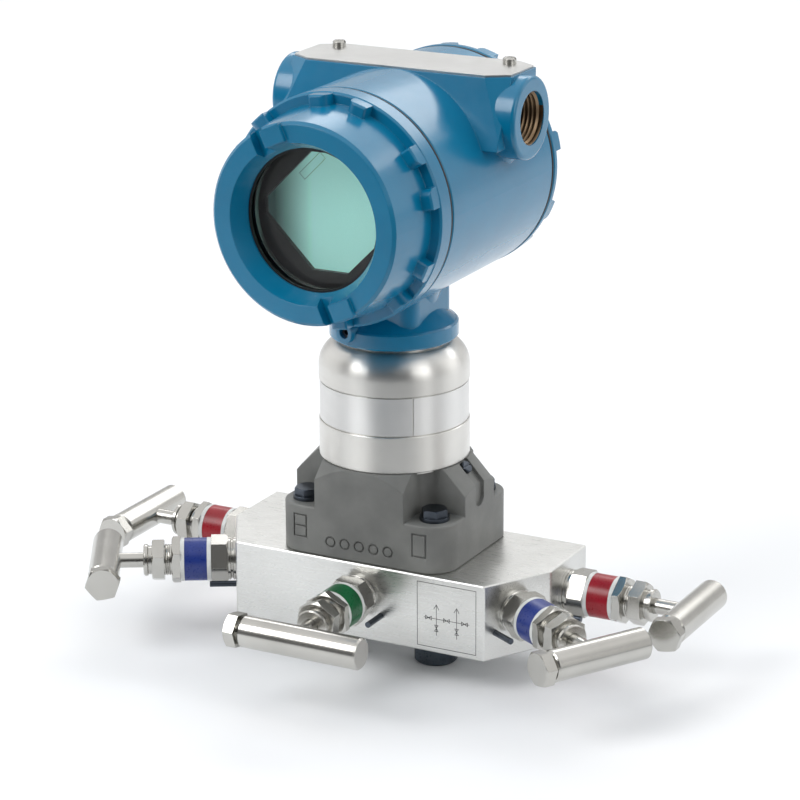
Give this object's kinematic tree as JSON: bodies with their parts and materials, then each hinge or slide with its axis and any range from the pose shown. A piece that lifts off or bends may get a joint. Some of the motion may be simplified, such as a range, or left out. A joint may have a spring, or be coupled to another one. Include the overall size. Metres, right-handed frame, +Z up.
{
  "type": "pressure transmitter",
  "caption": "Differential pressure transmitter with a windowed housing, turned sensor can and valve manifold.",
  "frame": {"origin": "on the sensor's axis, in the plane of the manifold block's underside", "axes": "+X along the block to the right conduit, -Y out of the display window, +Z up the sensor's axis"},
  "size_m": [0.2674, 0.154, 0.2445],
  "materials": {
    "blue_paint": "semi-gloss sprayed paint over a die casting",
    "grey_paint": "fine-grained matt paint over a casting",
    "turned_steel": "fine turned, bright",
    "block_steel": "bead blasted, light",
    "valve_steel": "machined and polished",
    "bolt_steel": "dark oxide",
    "label_foil": "plain satin foil, bare of print",
    "plug_plastic": "dark moulded plastic",
    "blue_sleeve": "dyed sleeve",
    "red_sleeve": "dyed sleeve",
    "green_sleeve": "dyed sleeve",
    "seal_rubber": "matt black rubber",
    "seal_white": "fluoropolymer, white",
    "bezel_plastic": "fine textured moulding",
    "display_panel": "unlit liquid crystal panel",
    "board_laminate": "solder masked laminate",
    "terminal_brass": "plated brass",
    "clear_glass": "flat toughened glass"
  },
  "bodies": {
    "manifold": {"manifold_block": "block_steel", "process_plugs": "plug_plastic", "module_base": "grey_paint", "base_side_screw": "valve_steel", "base_bolts": "bolt_steel", "isolating_diaphragms": "valve_steel", "flange_seals": "seal_white", "sensor_can": "turned_steel", "can_label_band": "label_foil", "module_neck": "turned_steel", "neck_seal": "seal_rubber", "isolate_bands": "blue_sleeve", "vent_bands": "red_sleeve", "equalize_band": "green_sleeve", "bonnet_lock_nuts": "valve_steel", "gland_nuts": "valve_steel", "lock_pins": "valve_steel", "stem_packings": "seal_white", "equalize_bonnet": "valve_steel", "isolate_left_bonnet": "valve_steel", "isolate_right_bonnet": "valve_steel", "vent_left_bonnet": "valve_steel", "vent_right_bonnet": "valve_steel"},
    "housing": {"housing_body": "blue_paint", "housing_set_screw": "bolt_steel", "nameplate": "label_foil", "nameplate_screws": "valve_steel", "display_bezel": "bezel_plastic", "display_panel": "display_panel", "electronics_board": "board_laminate", "terminal_block": "bezel_plastic", "terminal_screws": "terminal_brass"},
    "front_seal_ring": {"front_cover_seal": "seal_rubber"},
    "front_cover": {"front_cover": "blue_paint", "window_gasket": "seal_rubber", "window_glass": "clear_glass", "window_retainer": "valve_steel"},
    "rear_seal_ring": {"rear_cover_seal": "seal_rubber"},
    "rear_cover": {"rear_cover": "blue_paint"},
    "equalize_tip": {"equalize_stem_tip": "valve_steel"},
    "equalize_handle": {"equalize_stem": "valve_steel", "equalize_handle": "valve_steel", "equalize_handle_bolt": "valve_steel"},
    "isolate_left_tip": {"isolate_left_stem_tip": "valve_steel"},
    "isolate_left_handle": {"isolate_left_stem": "valve_steel", "isolate_left_handle": "valve_steel", "isolate_left_handle_bolt": "valve_steel"},
    "isolate_right_tip": {"isolate_right_stem_tip": "valve_steel"},
    "isolate_right_handle": {"isolate_right_stem": "valve_steel", "isolate_right_handle": "valve_steel", "isolate_right_handle_bolt": "valve_steel"},
    "vent_left_tip": {"vent_left_stem_tip": "valve_steel"},
    "vent_left_handle": {"vent_left_stem": "valve_steel", "vent_left_handle": "valve_steel", "vent_left_handle_bolt": "valve_steel"},
    "vent_right_tip": {"vent_right_stem_tip": "valve_steel"},
    "vent_right_handle": {"vent_right_stem": "valve_steel", "vent_right_handle": "valve_steel", "vent_right_handle_bolt": "valve_steel"}
  },
  "joints": [
    {"name": "housing_turn", "type": "hinge", "parent": "manifold", "child": "housing", "pos_m": [0, 0, 0.11915], "axis": [0, 0, 1], "range_deg": [-180, 180]},
    {"name": "front_cover_shift", "type": "slide", "parent": "housing", "child": "front_seal_ring", "axis": [0, -1, 0], "range_m": [0, 0.01]},
    {"name": "front_cover_turn", "type": "hinge", "parent": "front_seal_ring", "child": "front_cover", "pos_m": [0, -0.0388, 0.18085], "axis": [0, -1, 0], "range_deg": [0, 1800]},
    {"name": "rear_cover_shift", "type": "slide", "parent": "housing", "child": "rear_seal_ring", "axis": [0, 1, 0], "range_m": [0, 0.01]},
    {"name": "rear_cover_turn", "type": "hinge", "parent": "rear_seal_ring", "child": "rear_cover", "pos_m": [0, 0.0508, 0.18085], "axis": [0, 1, 0], "range_deg": [0, 1800]},
    {"name": "equalize_lift", "type": "slide", "parent": "manifold", "child": "equalize_tip", "axis": [0, -1, 0], "range_m": [0, 0.006]},
    {"name": "equalize_turn", "type": "hinge", "parent": "equalize_tip", "child": "equalize_handle", "pos_m": [0, -0.0325, 0.0184], "axis": [0, -1, 0], "range_deg": [0, 1800]},
    {"name": "isolate_left_lift", "type": "slide", "parent": "manifold", "child": "isolate_left_tip", "axis": [-0.866, -0.5, 0], "range_m": [0, 0.006]},
    {"name": "isolate_left_turn", "type": "hinge", "parent": "isolate_left_tip", "child": "isolate_left_handle", "pos_m": [-0.0645, -0.01864, 0.0184], "axis": [-0.866, -0.5, 0], "range_deg": [0, 1800]},
    {"name": "isolate_right_lift", "type": "slide", "parent": "manifold", "child": "isolate_right_tip", "axis": [0.866, -0.5, 0], "range_m": [0, 0.006]},
    {"name": "isolate_right_turn", "type": "hinge", "parent": "isolate_right_tip", "child": "isolate_right_handle", "pos_m": [0.0645, -0.01864, 0.0184], "axis": [0.866, -0.5, 0], "range_deg": [0, 1800]},
    {"name": "vent_left_lift", "type": "slide", "parent": "manifold", "child": "vent_left_tip", "axis": [-1, 0, 0], "range_m": [0, 0.006]},
    {"name": "vent_left_turn", "type": "hinge", "parent": "vent_left_tip", "child": "vent_left_handle", "pos_m": [-0.0725, 0.011, 0.0184], "axis": [-1, 0, 0], "range_deg": [0, 1800]},
    {"name": "vent_right_lift", "type": "slide", "parent": "manifold", "child": "vent_right_tip", "axis": [1, 0, 0], "range_m": [0, 0.006]},
    {"name": "vent_right_turn", "type": "hinge", "parent": "vent_right_tip", "child": "vent_right_handle", "pos_m": [0.0725, 0.011, 0.0184], "axis": [1, 0, 0], "range_deg": [0, 1800]}
  ],
  "couplings": [
    {"joint": "front_cover_shift", "follows": "front_cover_turn", "m_per_rad": 0.00031831},
    {"joint": "rear_cover_shift", "follows": "rear_cover_turn", "m_per_rad": 0.00031831},
    {"joint": "equalize_lift", "follows": "equalize_turn", "m_per_rad": 0.00019099},
    {"joint": "isolate_left_lift", "follows": "isolate_left_turn", "m_per_rad": 0.00019099},
    {"joint": "isolate_right_lift", "follows": "isolate_right_turn", "m_per_rad": 0.00019099},
    {"joint": "vent_left_lift", "follows": "vent_left_turn", "m_per_rad": 0.00019099},
    {"joint": "vent_right_lift", "follows": "vent_right_turn", "m_per_rad": 0.00019099}
  ]
}
